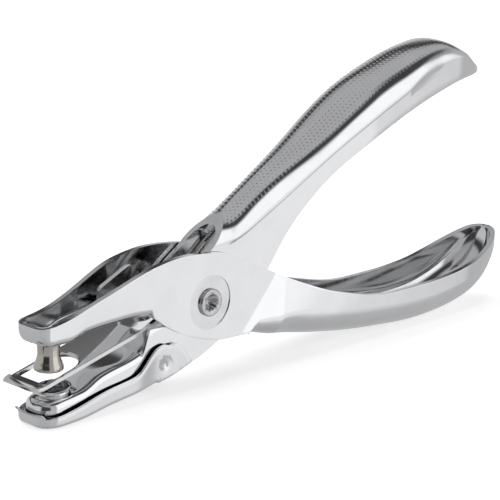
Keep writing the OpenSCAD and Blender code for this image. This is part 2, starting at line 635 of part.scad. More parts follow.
// Ring of the wire around one of its points
function wire_ring(i) =
    let (n = len(wire_points), p = wire_points[i],
         t = unit(wire_points[min(i + 1, n - 1)] - wire_points[max(i - 1, 0)]),
         u = unit(cross(t, [0, 1, 0])), v = cross(t, u))
    [for (k = [0:wire_sides - 1]) let (a = 360*k/wire_sides) p + wire_d/2*(cos(a)*u + sin(a)*v)];
wire_gap = min([for (i = [0:len(wire_points) - 1]) for (j = [i + 5:1:len(wire_points) - 1])
    norm(wire_points[i] - wire_points[j])]) - wire_d;
echo(least_gap_of_the_spring_to_itself = wire_gap);

module torsion_spring() {
    n = len(wire_points);
    m = wire_sides;
    sides = [for (i = [0:n - 2]) for (k = [0:m - 1])
        for (f = quad(i*m + k, (i + 1)*m + k, (i + 1)*m + (k + 1) % m, i*m + (k + 1) % m)) f];
    ends = [for (k = [1:m - 2]) each [[0, k, k + 1], [(n - 1)*m, (n - 1)*m + k + 1, (n - 1)*m + k]]];
    color(chrome) at_pivot() polyhedron([for (i = [0:n - 1]) each wire_ring(i)], concat(sides, ends));
}

// Places

module at_pivot() {
    translate([-(low_reach + lip_tip_x)/2, 0, pivot_h]) children();
}
lip_tip_x = jaw(strip_front - lip_reach, strip_top - strip_t + lip_rise)[0];
// Hole or pin across the punch, centred on the pivot's axis
module across(length, d) {
    rotate([90, 0, 0]) cylinder(d = d, h = length, center = true);
}
module tilted() {
    rotate([0, -jaw_tilt, 0]) children();
}
module in_jaw(x, z) {
    tilted() translate([x, 0, z]) children();
}
module at_die() {
    translate([die_top[0], 0, die_top[1]]) rotate([0, -die_tilt, 0]) children();
}

punch_lever();
die_lever();
pivot_rivet();
punch_pin();
torsion_spring();
die_ring();
stripper_plate();
stripper_rivet();
chip_tray();
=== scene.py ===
"""Single hole punch: pressed levers, tray, stripper, rivets and spring as smooth metal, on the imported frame.

Sizes are millimetres around the pivot's axis, with +X from the nose to the handles and +Z up.
"""

import json
import math

import bmesh
import bpy
import numpy as np
from mathutils import Matrix, Vector


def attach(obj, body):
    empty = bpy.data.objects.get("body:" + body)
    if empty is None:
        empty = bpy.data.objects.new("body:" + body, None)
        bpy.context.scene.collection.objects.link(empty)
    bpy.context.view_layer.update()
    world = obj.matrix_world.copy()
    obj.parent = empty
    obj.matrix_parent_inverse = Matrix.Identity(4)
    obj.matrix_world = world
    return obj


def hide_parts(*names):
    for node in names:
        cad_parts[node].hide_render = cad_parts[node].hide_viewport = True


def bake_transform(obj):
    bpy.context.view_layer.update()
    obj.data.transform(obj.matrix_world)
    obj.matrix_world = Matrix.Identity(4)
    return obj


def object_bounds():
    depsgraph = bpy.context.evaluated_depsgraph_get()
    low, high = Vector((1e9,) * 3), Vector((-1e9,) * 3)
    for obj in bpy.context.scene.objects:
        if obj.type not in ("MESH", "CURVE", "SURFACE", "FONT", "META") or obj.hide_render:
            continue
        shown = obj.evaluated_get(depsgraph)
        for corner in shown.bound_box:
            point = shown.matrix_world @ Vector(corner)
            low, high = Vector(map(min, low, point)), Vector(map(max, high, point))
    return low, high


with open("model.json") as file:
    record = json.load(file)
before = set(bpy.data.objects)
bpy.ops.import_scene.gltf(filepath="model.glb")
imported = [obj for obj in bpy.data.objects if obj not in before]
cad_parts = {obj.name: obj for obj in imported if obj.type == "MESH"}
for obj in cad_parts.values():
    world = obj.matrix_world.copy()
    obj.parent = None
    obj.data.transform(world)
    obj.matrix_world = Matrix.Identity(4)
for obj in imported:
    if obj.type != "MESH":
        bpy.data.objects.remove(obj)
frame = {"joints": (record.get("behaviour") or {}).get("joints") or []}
cad_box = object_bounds()

MM = 0.001
TINY = 1e-6
OUTSIDE, INSIDE, RIM, BACK = range(4)
joints = {joint["name"]: joint for joint in frame["joints"]}
PIVOT = Vector(joints["squeeze"]["pos_m"])

# Sheet metal
SHEET_T = 1.2
TRAY_T = 0.8
STRIP_T = 0.8
SIDE_GAP = 0.3
EDGE_R = 0.22

# Pivot
CHEEK_HALF = 6.3
RIVET_R = 2.3
RIVET_HEAD_R = 3.05
COIN_R = 6.0
COIN_DEPTH = 0.2
CHEEK_CREST = 11.5
CHEEK_DROP = 9.2
PIVOT_H = 18.5

# Punch and die
PIN_X = -39.4
PIN_R = 2.6
PIN_NECK_R = 1.52
CUTTER_R = 3.05
NOSE_DROP = 1.9
PIN_TIP = -7.7
DIE_BORE = 3.3
DIE_R = 3.9
DIE_RISE = 1.3
SQUEEZE = 7.2
BITE = 0.9

# Upper jaw and lower handle
NOSE_HALF = 4.75
NOSE_X = PIN_X - 5.5
NOSE_RIM = 2.3
NOSE_CORNER = 3.0
NOSE_ROUND = 3.0
THROAT_X = -16.8
THROAT_Z = 0.1
WINDOW_END = 13.0
LOW_REACH = 103.4
LOW_HALF = 8.4
LOW_SAG = 8.7

# Lower jaw and upper handle
DIE_HALF = CHEEK_HALF - SHEET_T - SIDE_GAP
DIE_NOSE_HALF = 4.6
DIE_NOSE_CORNER = 4.2
DIE_NOSE_ROUND = 1.6
JAW_TILT = 13.7
MOUTH_H = 4.15
STRIP_TOP = 1.85
PAD_GAP = 0.1
TOP_REACH = 91.4
TOP_HALF = 7.8
TOP_RISE = 48.0

# Chip tray
HINGE = (-12.1, -11.6)
HINGE_R = 1.0
TRAY_HALF = DIE_HALF + SIDE_GAP + TRAY_T
TRAY_TAIL = 7.2
TRAY_CORNER = 5.2
TRAY_ROUND = 1.4
TRAY_SKIN = 0.5
TRAY_LEAN = 0.08
TRAY_FACE = TRAY_HALF - 0.3  # outside of the leaning wall at the hinge


def mix(a, b, t):
    return a + (b - a) * t


def smooth(t):
    t = np.clip(t, 0, 1)
    return t * t * (3 - 2 * t)


def turned(x, z, degrees):
    """Turns a point of the side view about the pivot, nose downwards."""
    a = math.radians(degrees)
    return np.array([x * math.cos(a) - z * math.sin(a), x * math.sin(a) + z * math.cos(a)])


def jaw(x, z):
    """Point of the lower jaw, along and above its closed line."""
    return turned(x, z, JAW_TILT)


HALF_BITE = math.degrees(math.asin(BITE / 2 / -PIN_X))
DIE_TILT = SQUEEZE - HALF_BITE
DIE_TOP = turned(PIN_X, PIN_TIP + BITE / 2, DIE_TILT)


def on_die(x, z):
    """Point of the die's own frame, along and above its rim."""
    return DIE_TOP + turned(x, z, DIE_TILT)


WEB_TOP = STRIP_TOP - STRIP_T - MOUTH_H
PAD_TOP = STRIP_TOP - STRIP_T - PAD_GAP
DIE_NOSE_X = DIE_TOP[0] - DIE_R - 1.6
TRAY_FRONT = DIE_NOSE_X - SIDE_GAP - TRAY_T - 0.3


def curve(points, x):
    """Smooth height at x through points, with slopes that never overshoot."""
    xs, zs = np.array([tuple(p) for p in points], float).T
    h = np.diff(xs)
    rise = np.diff(zs) / h
    product = rise[:-1] * rise[1:]
    total = np.where(product > 0, rise[:-1] + rise[1:], 1)
    slope = np.concatenate([rise[:1], np.where(product > 0, 2 * product / total, 0), rise[-1:]])
    x = np.asarray(x, float)
    i = np.clip(np.searchsorted(xs, x, side="right") - 1, 0, len(xs) - 2)
    t = np.clip((x - xs[i]) / h[i], 0, 1)
    return ((2 * t**3 - 3 * t**2 + 1) * zs[i] + (t**3 - 2 * t**2 + t) * h[i] * slope[i]
            + (3 * t**2 - 2 * t**3) * zs[i + 1] + (t**3 - t**2) * h[i] * slope[i + 1])


def soft(points, x, reach=2.5):
    """The same curve averaged over a short reach, so that reflections run without kinks."""
    offsets = np.linspace(-reach, reach, 7)
    return sum(curve(points, np.asarray(x, float) + o) for o in offsets) / len(offsets)


def end_round(d, length, blunt):
    """Round end: 1 on the body and 0 at the end, over a length."""
    t = np.clip(d / length, 0, 1)
    return (1 - (1 - t) ** blunt) ** (1 / blunt)


def quarter(d, r):
    """Inset of a quarter round at a distance from an end."""
    d = np.clip(d, 0, r)
    return r - np.sqrt(np.maximum(0, r * r - (r - d) ** 2))


def steps(a, b, size):
    """Even steps from a to just before b."""
    n = max(1, round(abs(b - a) / size))
    return [mix(a, b, i / n) for i in range(n)]


def round_steps(a, length, n):
    """Steps into a rounded end, closest at the end itself."""
    return [a + length * (1 - math.cos(math.radians(90 * i / n))) for i in range(n)]


# Mesh tools

def place(points):
    """Pivot millimetres to metres in the frame."""
    return [PIVOT + Vector(p) * MM for p in points]


def new_object(name, bm, materials=()):
    mesh = bpy.data.meshes.new(name)
    for material in materials:
        mesh.materials.append(material)
    bm.to_mesh(mesh)
    bm.free()
    obj = bpy.data.objects.new(name, mesh)
    bpy.context.scene.collection.objects.link(obj)
    return obj


def settle(obj):
    """Applies an object's modifiers to its mesh."""
    graph = bpy.context.evaluated_depsgraph_get()
    mesh = bpy.data.meshes.new_from_object(obj.evaluated_get(graph), depsgraph=graph)
    old = obj.data
    obj.modifiers.clear()
    obj.data = mesh
    mesh.name = old.name
    bpy.data.meshes.remove(old)


def sheet_object(name, outer, inner, materials, capped=(True, True), slot_of=None):
    """Closed sheet between an outer and an inner surface of rows.

    A capped end is closed by a ladder of faces on each surface; an open end shows the sheet's cut edge.
    """
    bm = bmesh.new()
    skins = [[[bm.verts.new(p) for p in place(row)] for row in rows] for rows in (outer, inner)]
    last = len(outer) - 1

    def face(corners, slot):
        kept = []
        for v in corners:
            if all((v.co - w.co).length > TINY for w in kept):
                kept.append(v)
        if len(kept) > 2:
            bm.faces.new(kept).material_index = slot

    for skin, default in zip(skins, (OUTSIDE, INSIDE)):
        n = len(skin[0])
        for i in range(last):
            for k in range(n - 1):
                slot = slot_of(i, k) if slot_of and default == OUTSIDE else default
                face([skin[i][k], skin[i + 1][k], skin[i + 1][k + 1], skin[i][k + 1]], slot)
        for i, closed in zip((0, last), capped):
            for k in range(n // 2 - (1 - n % 2)) if closed else []:
                face([skin[i][k], skin[i][k + 1], skin[i][n - 2 - k], skin[i][n - 1 - k]], default)
    out, far_out = [row[0] for row in skins[0]], [row[-1] for row in skins[0]]
    low, far_low = [row[0] for row in skins[1]], [row[-1] for row in skins[1]]
    for i in range(last):
        face([out[i], out[i + 1], low[i + 1], low[i]], RIM)
        face([far_out[i], far_out[i + 1], far_low[i + 1], far_low[i]], RIM)
    for i, closed in zip((0, last), capped):
        if closed:
            face([out[i], far_out[i], far_low[i], low[i]], RIM)
        else:
            a, b = skins[0][i], skins[1][i]
            for k in range(len(a) - 1):
                face([a[k], a[k + 1], b[k + 1], b[k]], RIM)
    bmesh.ops.remove_doubles(bm, verts=bm.verts, dist=2 * TINY)
    loose = [v for v in bm.verts if not v.link_faces]
    bmesh.ops.delete(bm, geom=loose, context="VERTS")
    bmesh.ops.recalc_face_normals(bm, faces=bm.faces)
    return new_object(name, bm, materials)


def within(s, first, last, t, lead=6.0, tail=20.0):
    """Station of the inner surface that goes with station s: a sheet's thickness inside both ends."""
    return s + t * max(0.0, 1 - (s - first) / lead) - t * max(0.0, 1 - (last - s) / tail)


def block(near_points, far_points, name="cutter"):
    """Solid between two outlines of equal length."""
    bm = bmesh.new()
    near = [bm.verts.new(p) for p in place(near_points)]
    far = [bm.verts.new(p) for p in place(far_points)]
    bm.faces.new(near)
    bm.faces.new(far[::-1])
    for i in range(len(near)):
        j = (i + 1) % len(near)
        bm.faces.new([near[j], near[i], far[i], far[j]])
    bmesh.ops.recalc_face_normals(bm, faces=bm.faces)
    return new_object(name, bm)


def prism(outline, half_width, middle=0.0, name="cutter"):
    """A side-view outline drawn across the punch."""
    near = [(x, middle - half_width, z) for x, z in outline]
    far = [(x, middle + half_width, z) for x, z in outline]
    return block(near, far, name)


def lathe(name, profile, matrix, segments=96, shape=None):
    """Turned solid: profile of (radius, height) points about an axis placed by a matrix."""
    bm = bmesh.new()
    rings = []
    for r, h in profile:
        if r < TINY:
            rings.append([bm.verts.new(matrix @ Vector((0, 0, h * MM)))])
            continue
        ring = []
        for i in range(segments):
            a = 2 * math.pi * i / segments
            q, z = shape(r, h, a) if shape else (r, h)
            ring.append(bm.verts.new(matrix @ (Vector((q * math.cos(a), q * math.sin(a), z)) * MM)))
        rings.append(ring)
    for a, b in zip(rings, rings[1:]):
        for i in range(segments):
            j = (i + 1) % segments
            corners = [a[i % len(a)], a[j % len(a)], b[j % len(b)], b[i % len(b)]]
            unique = list(dict.fromkeys(corners))
            if len(unique) > 2:
                bm.faces.new(unique)
    bmesh.ops.recalc_face_normals(bm, faces=bm.faces)
    return new_object(name, bm)


def at(x, z, tilt=0.0):
    """Frame of a turned piece that stands in the side view at a tilt, in metres."""
    return Matrix.Translation(PIVOT + Vector((x, 0, z)) * MM) @ Matrix.Rotation(math.radians(-tilt), 4, "Y")


def across(x, z):
    """Frame of a turned piece that lies along the pivot's axis."""
    return Matrix.Translation(PIVOT + Vector((x, 0, z)) * MM) @ Matrix.Rotation(math.radians(90), 4, "X")


def across_to(side, x, z):
    """The same frame, mirrored to one side of the punch."""
    return across(x, z) @ Matrix.Scale(side, 4, (0, 0, 1))


def drill(r, matrix, low, high, segments=96):
    """Cutter: a round bar from a low to a high end of its axis."""
    return lathe("cutter", [(0, low), (r, low), (r, high), (0, high)], matrix, segments)


def cut(obj, *cutters):
    """Takes the cutters out of a solid."""
    for cutter in cutters:
        for material in obj.data.materials:
            cutter.data.materials.append(material)
        for polygon in cutter.data.polygons:
            polygon.material_index = RIM
        knife = obj.modifiers.new("cut", "BOOLEAN")
        knife.operation = "DIFFERENCE"
        knife.solver = "MANIFOLD"
        knife.object = cutter
        settle(obj)
        mesh = cutter.data
        bpy.data.objects.remove(cutter)
        bpy.data.meshes.remove(mesh)


def round_edges(obj, width=EDGE_R, segments=3, angle=42):
    """Breaks the sharp edges of a cut sheet."""
    bevel = obj.modifiers.new("edges", "BEVEL")
    bevel.width = width * MM
    bevel.segments = segments
    bevel.limit_method = "ANGLE"
    bevel.angle_limit = math.radians(angle)
    bevel.harden_normals = False
    bevel.use_clamp_overlap = True
    settle(obj)


def shade(obj, angle=38):
    for polygon in obj.data.polygons:
        polygon.use_smooth = True
    obj.data.set_sharp_from_angle(angle=math.radians(angle))
    weigh = obj.modifiers.new("flat faces", "WEIGHTED_NORMAL")
    weigh.keep_sharp = True
    settle(obj)


def dress(obj, body, slot, materials, *nodes):
    if not obj.data.materials:
        for material in materials:
            obj.data.materials.append(material)
    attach(obj, body)
    if nodes:
        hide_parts(*nodes)


# Materials

def linked(tree, kind, **inputs):
    """Adds a node and sets or links its inputs, by name or, as i0, i1 and so on, by number."""
    node = tree.nodes.new(kind)
    for key, value in inputs.items():
        socket = node.inputs[int(key[1:])] if key[0] == "i" and key[1:].isdigit() else node.inputs[key]
        if isinstance(value, bpy.types.NodeSocket):
            tree.links.new(value, socket)
        else:
            socket.default_value = value
    return node


def ramp(tree, factor, stops, interpolation="EASE"):
    node = tree.nodes.new("ShaderNodeValToRGB")
    tree.links.new(factor, node.inputs["Fac"])
    node.color_ramp.interpolation = interpolation
    elements = node.color_ramp.elements
    while len(elements) < len(stops):
        elements.new(0.5)
    for element, (position, colour) in zip(elements, stops):
        element.position = position
        element.color = (*colour, 1) if len(colour) == 3 else colour
    return node.outputs["Color"]


def metal(name, light, dark, rough, stretch=(1, 1, 1), bump=0.04):
    """Plated metal: cloudy tone, uneven gloss and a fine polishing grain."""
    material = bpy.data.materials.new(name)
    material.use_nodes = True
    tree = material.node_tree
    shader = tree.nodes["Principled BSDF"]
    where = tree.nodes.new("ShaderNodeTexCoord").outputs["Object"]
    cloud = linked(tree, "ShaderNodeTexNoise", Vector=where, Scale=140.0, Detail=3.0, Roughness=0.55)
    tree.links.new(ramp(tree, cloud.outputs["Fac"], [(0.3, dark), (0.7, light)]), shader.inputs["Base Color"])
    gloss = linked(tree, "ShaderNodeTexNoise", Vector=where, Scale=420.0, Detail=4.0, Roughness=0.6)
    low, high = rough
    tree.links.new(ramp(tree, gloss.outputs["Fac"], [(0.35, (low,) * 3), (0.75, (high,) * 3)]),
                   shader.inputs["Roughness"])
    lay = linked(tree, "ShaderNodeMapping", Vector=where, Scale=stretch)
    scratch = linked(tree, "ShaderNodeTexNoise", Vector=lay.outputs["Vector"], Scale=1600.0, Detail=3.0)
    relief = linked(tree, "ShaderNodeBump", Strength=bump, Distance=0.00004, Height=scratch.outputs["Fac"])
    tree.links.new(relief.outputs["Normal"], shader.inputs["Normal"])
    shader.inputs["Metallic"].default_value = 1.0
    return material


chrome = metal("chrome_outside", (0.85, 0.853, 0.86), (0.815, 0.82, 0.828), (0.05, 0.1), stretch=(0.15, 1, 1))
# Inner surfaces: a darker copy of the same chrome, painted shade for the hollows of the channels; the plating
# itself matches the outside, and only the rougher gloss and coarser grain are its own
inside = metal("chrome_inside_painted_shade", (0.8, 0.803, 0.81), (0.74, 0.745, 0.755), (0.07, 0.15), bump=0.08)
rim = metal("chrome_cut_edge", (0.8, 0.803, 0.81), (0.72, 0.725, 0.735), (0.1, 0.2), bump=0.08)
back = metal("chrome_knurled", (0.83, 0.835, 0.845), (0.79, 0.795, 0.805), (0.1, 0.16))
nickel = metal("warm_nickel", (0.66, 0.635, 0.59), (0.57, 0.545, 0.5), (0.06, 0.13), stretch=(1, 1, 0.2))
die_steel = metal("die_steel", (0.64, 0.64, 0.645), (0.54, 0.54, 0.55), (0.08, 0.16))
spring_wire = metal("spring_wire", (0.74, 0.735, 0.72), (0.66, 0.655, 0.64), (0.08, 0.16))
SHEET_METALS = [chrome, inside, rim, back]

# Punch lever: upper jaw and lower handle, a channel open upwards

punch_rim = [
    (NOSE_X, NOSE_RIM), (PIN_X + 1, NOSE_RIM + 0.9), (PIN_X + 10, NOSE_RIM + 3.8), (-16.2, CHEEK_CREST - 0.9),
    (-8, CHEEK_CREST), (3, CHEEK_CREST - 1.1), (13.3, 6), (25.5, 0.3), (40, -5.1), (58.3, -LOW_SAG + 0.1),
    (70, -LOW_SAG), (LOW_REACH - 23.4, -LOW_SAG + 0.5), (LOW_REACH - 15.4, -6.9), (LOW_REACH - 6, -3.9),
    (LOW_REACH, -1.1)]
punch_floor = [
    (NOSE_X, -NOSE_DROP), (PIN_X + 3, -NOSE_DROP), (-34.5, -0.95), (-31, -0.4), (-25.9, 0.1), (-21.4, 0.4),
    (THROAT_X, THROAT_Z)]
cheek_edge = [
    (THROAT_X, THROAT_Z), (-12.1, -3.1), (-6.5, -CHEEK_DROP + 3), (-0.7, -CHEEK_DROP + 1),
    (5, -CHEEK_DROP), (10, -CHEEK_DROP - 0.1), (20.2, -11.7), (34.4, -14.6), (52.4, -17.2),
    (71, -PIVOT_H), (LOW_REACH - 15, -PIVOT_H + 1.4), (LOW_REACH, -PIVOT_H + 2.8)]

# The wall steps outwards behind the cheek on a slanting facet between two creases
CREASE_A = 14.75
CREASE_B = 21.5
CREASE_SOFT = 0.4
FLAT_END = -6.0
STRAIGHT_START = 45.0
STEP_LOW = 2.1
STEP_HIGH = 0.7


def slant(z):
    """Share of the facet's height, from its foot to its top."""
    return np.clip((np.asarray(z) + CHEEK_DROP) / 11.7, -0.3, 1.15)


def punch_x(s, z):
    """Place along X of station s at a height, so that the stations follow the two creases."""
    c = slant(z)
    knots = [FLAT_END, CREASE_A, CREASE_B, STRAIGHT_START]
    ends = [np.full_like(c, x) for x in (FLAT_END, STRAIGHT_START)]
    places = [ends[0], mix(9.5, 20.0, c), mix(20.5, 22.5, c), ends[1]]
    if s <= knots[0] or s >= knots[-1]:
        return np.full_like(c, s)
    i = int(np.searchsorted(knots, s, side="right")) - 1
    t = (s - knots[i]) / (knots[i + 1] - knots[i])
    return mix(places[i], places[i + 1], t)


def facet(s):
    """Share of the facet passed at station s, with softened creases."""
    spread = np.linspace(-CREASE_SOFT, CREASE_SOFT, 9)
    return float(np.mean(np.clip((s + spread - CREASE_A) / (CREASE_B - CREASE_A), 0, 1)))


def punch_half(s, z):
    """Half width of the punch lever at station s and some heights."""
    if s < THROAT_X:
        return np.full_like(z, mix(NOSE_HALF, CHEEK_HALF, smooth((s - PIN_X - 4) / (THROAT_X - PIN_X - 5))))
    out = mix(STEP_LOW, STEP_HIGH, np.clip(slant(z), 0, 1))
    widest = LOW_HALF - CHEEK_HALF
    return CHEEK_HALF + np.where(s < CREASE_B + 1, out * facet(s),
                                 mix(out, widest, smooth((s - CREASE_B - 1) / 26)))


WINDOW_DIP = 5.0
RAMP = 2.0
TIP_PLAN = 18.8
TIP_SIDE = 24.0
JAW_BEND = 1.9
CHEEK_BEND = 0.5
HANDLE_BEND = 6.2
LEAST_BEND = 0.05
HOLLOW_R = 1.5


def punch_row(s, t=0.0, wall_n=14, corner_n=12, floor_n=5):
    """Section of the punch lever from its near rim down, over the floor and up, at a depth t in the sheet."""
    z_rim = z_web = 0.0
    for _ in range(8):
        z_rim = float(soft(punch_rim, punch_x(s, np.array([z_rim])))[0])
        floor = punch_floor if s <= THROAT_X else cheek_edge
        z_web = float(soft(floor, punch_x(s, np.array([z_web])), 1.2)[0])
    if THROAT_X < s < punch_window_s:
        z_web -= WINDOW_DIP * float(smooth((s - THROAT_X) / RAMP) * smooth((punch_window_s - s) / RAMP))
    d_nose = s - NOSE_X - t
    z_web += t + float(quarter(d_nose, NOSE_ROUND - t))
    corner = t + float(quarter(d_nose, NOSE_CORNER - t))
    side = float(end_round(LOW_REACH - t - s, TIP_SIDE, 2.1))
    plan = float(end_round(LOW_REACH - t - s, TIP_PLAN, 2.2))
    z_web = mix(z_rim, z_web, side)
    if s < 0:
        r = float(mix(JAW_BEND, CHEEK_BEND, smooth((s - THROAT_X) / RAMP))) - t
    else:
        r = float(mix(CHEEK_BEND, HANDLE_BEND, smooth((s - 6) / 24))) - t
    low_half = float(punch_half(s, np.array([z_web]))[0] - corner) * plan
    r = max(LEAST_BEND, min(r, low_half - 0.2, (z_rim - z_web) * 0.8))
    wall_z = np.linspace(z_rim, z_web + r, wall_n)
    wall_y = (punch_half(s, wall_z) - corner) * plan
    angles = np.linspace(0, math.pi / 2, corner_n)[1:]
    foot = wall_y[-1]
    arc_y = foot - r * (1 - np.cos(angles))
    arc_z = z_web + r * (1 - np.sin(angles))
    flat_y = np.linspace(arc_y[-1], 0, floor_n + 1)[1:]
    ys = np.concatenate([wall_y, arc_y, flat_y])
    zs = np.concatenate([wall_z, arc_z, np.full(floor_n, z_web)])
    xs = punch_x(s, zs)
    near = [(x, -y, z) for x, y, z in zip(xs, ys, zs)]
    return near + [(x, -y, z) for x, y, z in near[-2::-1]]


punch_window_s = CREASE_A + 1.0
for _ in range(30):
    gap = WINDOW_END - float(punch_x(punch_window_s, np.array([float(curve(cheek_edge, WINDOW_END))]))[0])
    punch_window_s += gap * 0.4


def make_punch_lever():
    crease_steps = [CREASE_SOFT * f for f in (-1, -0.5, 0, 0.5, 1)]
    stations = (round_steps(NOSE_X, NOSE_ROUND, 14) + steps(NOSE_X + NOSE_ROUND, THROAT_X, 0.8)
                + steps(THROAT_X, CREASE_A - 1, 0.6) + [CREASE_A + d for d in crease_steps]
                + steps(CREASE_A + 0.8, CREASE_B - 0.8, 0.5) + [CREASE_B + d for d in crease_steps]
                + steps(CREASE_B + 1, LOW_REACH - TIP_SIDE, 1.1)
                + [LOW_REACH - d for d in round_steps(0.0, TIP_SIDE, 40)[:0:-1]] + [LOW_REACH - 0.03])
    stations = sorted(set(round(s, 4) for s in stations))
    deep = [punch_row(within(s, NOSE_X, LOW_REACH, SHEET_T), SHEET_T) for s in stations]
    obj = sheet_object("punch_lever_shell", [punch_row(s) for s in stations], deep, SHEET_METALS)
    xs = np.linspace(THROAT_X, WINDOW_END, 60)
    edge = [(x, float(soft(cheek_edge, x, 1.2))) for x in xs]
    window = prism([(THROAT_X, -40)] + edge + [(WINDOW_END, -40)], 20)
    between = prism([(THROAT_X, -20), (THROAT_X, 2.5), (-2, 0), (WINDOW_END, -4), (WINDOW_END, -20)],
                    CHEEK_HALF - SHEET_T - 0.02)
    hole = drill(RIVET_R + 0.02, across(0, 0), -12, 12)
    face = CHEEK_HALF - COIN_DEPTH
    coins = [drill(COIN_R, across_to(side, 0, 0), face, face + 3, 128) for side in (-1, 1)]
    spot = drill(PIN_R + 0.3, at(PIN_X, 0), -5, -NOSE_DROP + 0.8)
    ball = [(HOLLOW_R * math.cos(a), HOLLOW_R * math.sin(a)) for a in np.radians(range(-75, 90, 15))]
    ball = [(0, -HOLLOW_R)] + ball + [(0, HOLLOW_R)]
    hollow = lathe("cutter", ball, at(PIN_X - 4.1, -NOSE_DROP - 0.55), 32)
    cut(obj, window, between, hole, spot, hollow)
    round_edges(obj)
    cut(obj, *coins)
    shade(obj)
    dress(obj, "punch_half", "chrome", (), "punch_lever")


LUG_LENGTH = 9.5
LUG_HEIGHT = 8.4
LUG_HALF = 0.5
LUG_ASIDE = 1.4


def make_stop_lug():
    """Tongue folded up from the upper jaw's floor."""
    rear = THROAT_X + 1.2
    front = rear - LUG_LENGTH
    top = THROAT_Z + SHEET_T + LUG_HEIGHT
    brow = top - LUG_LENGTH / 3
    foot = THROAT_X - 0.2
    outline = [
        (front, float(curve(punch_floor, front)) + 0.6), (foot, THROAT_Z + 0.6), (foot, THROAT_Z + 2),
        (rear, THROAT_Z + 3), (rear - 0.5, top - 0.2), (rear - 1.0, top + 0.15), (rear - 1.7, top + 0.1),
        (front + 0.9, brow + 0.1), (front + 0.3, brow - 0.3), (front, brow - 1)]
    obj = prism(outline, LUG_HALF, LUG_ASIDE, "stop_lug")
    round_edges(obj, 0.2, 3)
    shade(obj)
    dress(obj, "punch_half", "chrome", [chrome])


# Die lever: lower jaw and upper handle, a channel open downwards

PAD_END = jaw(-11.4, PAD_TOP)
RAMP_FOOT = jaw(-19.4, WEB_TOP)
NECK_FRONT = PAD_END[0]
jaw_web = [
    on_die(-9, -DIE_RISE), on_die(4, -DIE_RISE), jaw(PIN_X + 8.6, WEB_TOP), RAMP_FOOT,
    jaw(-16.4, PAD_TOP), PAD_END]
neck_cut = [tuple(PAD_END), (-5.8, 5.6), (1.1, 10.6), (6.2, 15.0), (9.4, 17.6)]
handle_crown = [
    (-2, 14.6), (9, 16.9), (13, 19.4), (18, 22.6), (23.2, 25.3), (29.4, 28.4), (33, 30.4), (48.8, 40.1),
    (61, TOP_RISE - 3.4), (72, TOP_RISE - 0.5), (TOP_REACH - 13, TOP_RISE + 0.2),
    (TOP_REACH - 6, TOP_RISE - 4.4), (TOP_REACH, TOP_RISE - 6.6)]
die_rim = [
    (DIE_NOSE_X, -PIVOT_H + TRAY_T + 1.2), (-34, -PIVOT_H + TRAY_T + 1.3), (-20, -15.1),
    (HINGE[0], HINGE[1] - 2.1), (-3.9, -12.9), (4, -9.8), (12, -4.0), (19.4, 4.1), (23, 9.3), (27, 14.0),
    (36.8, 22.3), (46.3, 27.4), (61.3, 33.6), (71.7, 37.0), (81.7, 39.4), (TOP_REACH, 40.2)]
crease_line = [
    (6.0, 10.6), (13.1, 13.2), (25.2, 19.6), (35.5, 26.1), (45.5, 31.5), (59, 37.3), (68, 41.2), (76, 43.4)]
CREASE_RISE = 0.9
BULGE = 0.7
DIE_BEND = 1.7
TOP_PLAN = 13.0
TOP_SIDE = 7.4
BACK_N = 48


def die_half_at(x):
    """Half width of the die lever along X."""
    front = mix(DIE_NOSE_HALF, DIE_HALF, smooth((x - DIE_NOSE_X - 6) / 16))
    return front if x < 0 else mix(DIE_HALF, TOP_HALF, smooth((x - 15) / 36))


def calm(x):
    """Reach of the averaging along the handle's back: long on its straight part, short at its ends."""
    return 2.5 + 4.0 * float(smooth((x - 10) / 8) * (1 - smooth((x - 44) / 14)))


def bulge(x):
    """How far the knurled back stands out over the flat wall."""
    return BULGE * float(smooth((x - 5.8) / 4) * (1 - smooth((x - 60) / 14)))


def die_row(x, t=0.0, wall_n=4, step_n=6, back_n=BACK_N):
    """Section of the die lever from its near rim up, over the web or back and down, at a depth t."""
    z_rim = float(soft(die_rim, x, 1.5))
    half = float(die_half_at(x)) - t
    if x <= NECK_FRONT:
        web = float(soft(jaw_web, x, 0.5)) - float(quarter(x - DIE_NOSE_X - t, DIE_NOSE_ROUND - t))
        half -= float(quarter(x - DIE_NOSE_X - t, DIE_NOSE_CORNER - t))
    else:
        web = float(soft(handle_crown, x, calm(x))) if x > 0 else float(curve(neck_cut, x)) + 6
        web = mix(float(PAD_END[1]), web, float(smooth((x - NECK_FRONT) / RAMP)))
    web -= t
    if x <= 0:
        r = max(LEAST_BEND, min(DIE_BEND - t, half * 0.9, (web - z_rim) * 0.8))
        zs = [np.linspace(z_rim, web - r, wall_n + step_n)]
        ys = [np.full(wall_n + step_n, half)]
        turn = back_n // 2
        angles = np.linspace(0, math.pi / 2, turn + 1)[1:]
        ys.append(half - r * (1 - np.cos(angles)))
        zs.append(web - r * (1 - np.sin(angles)))
        ys.append(np.linspace(half - r, 0, back_n - turn + 1)[1:])
        zs.append(np.full(back_n - turn, web))
    else:
        crease = min(float(soft(crease_line, x, calm(x))), web - 2.4)
        out = bulge(x)
        zs = [np.linspace(z_rim, crease, wall_n)]
        ys = [np.full(wall_n, half)]
        rise = np.linspace(0, 1, step_n + 1)[1:]
        ys.append(half + out * smooth(rise))
        zs.append(crease + CREASE_RISE * rise)
        angles = np.linspace(0, math.pi / 2, back_n + 1)[1:]
        foot = crease + CREASE_RISE
        p = 2 / mix(2.0, 2.35, float(smooth((x - 8) / 20)))
        ys.append((half + out) * np.cos(angles).clip(0) ** p)
        zs.append(foot + (web - foot) * np.sin(angles) ** p)
    ys = np.concatenate(ys)
    zs = np.concatenate(zs)
    plan = float(end_round(TOP_REACH - t - x, TOP_PLAN, 2.5))
    side = float(end_round(TOP_REACH - t - x, TOP_SIDE, 2.1))
    ys = ys * plan
    zs = mix(z_rim, zs, side)
    near = [(x, -y, z) for y, z in zip(ys, zs)]
    return near + [(px, -y, z) for px, y, z in near[-2::-1]]


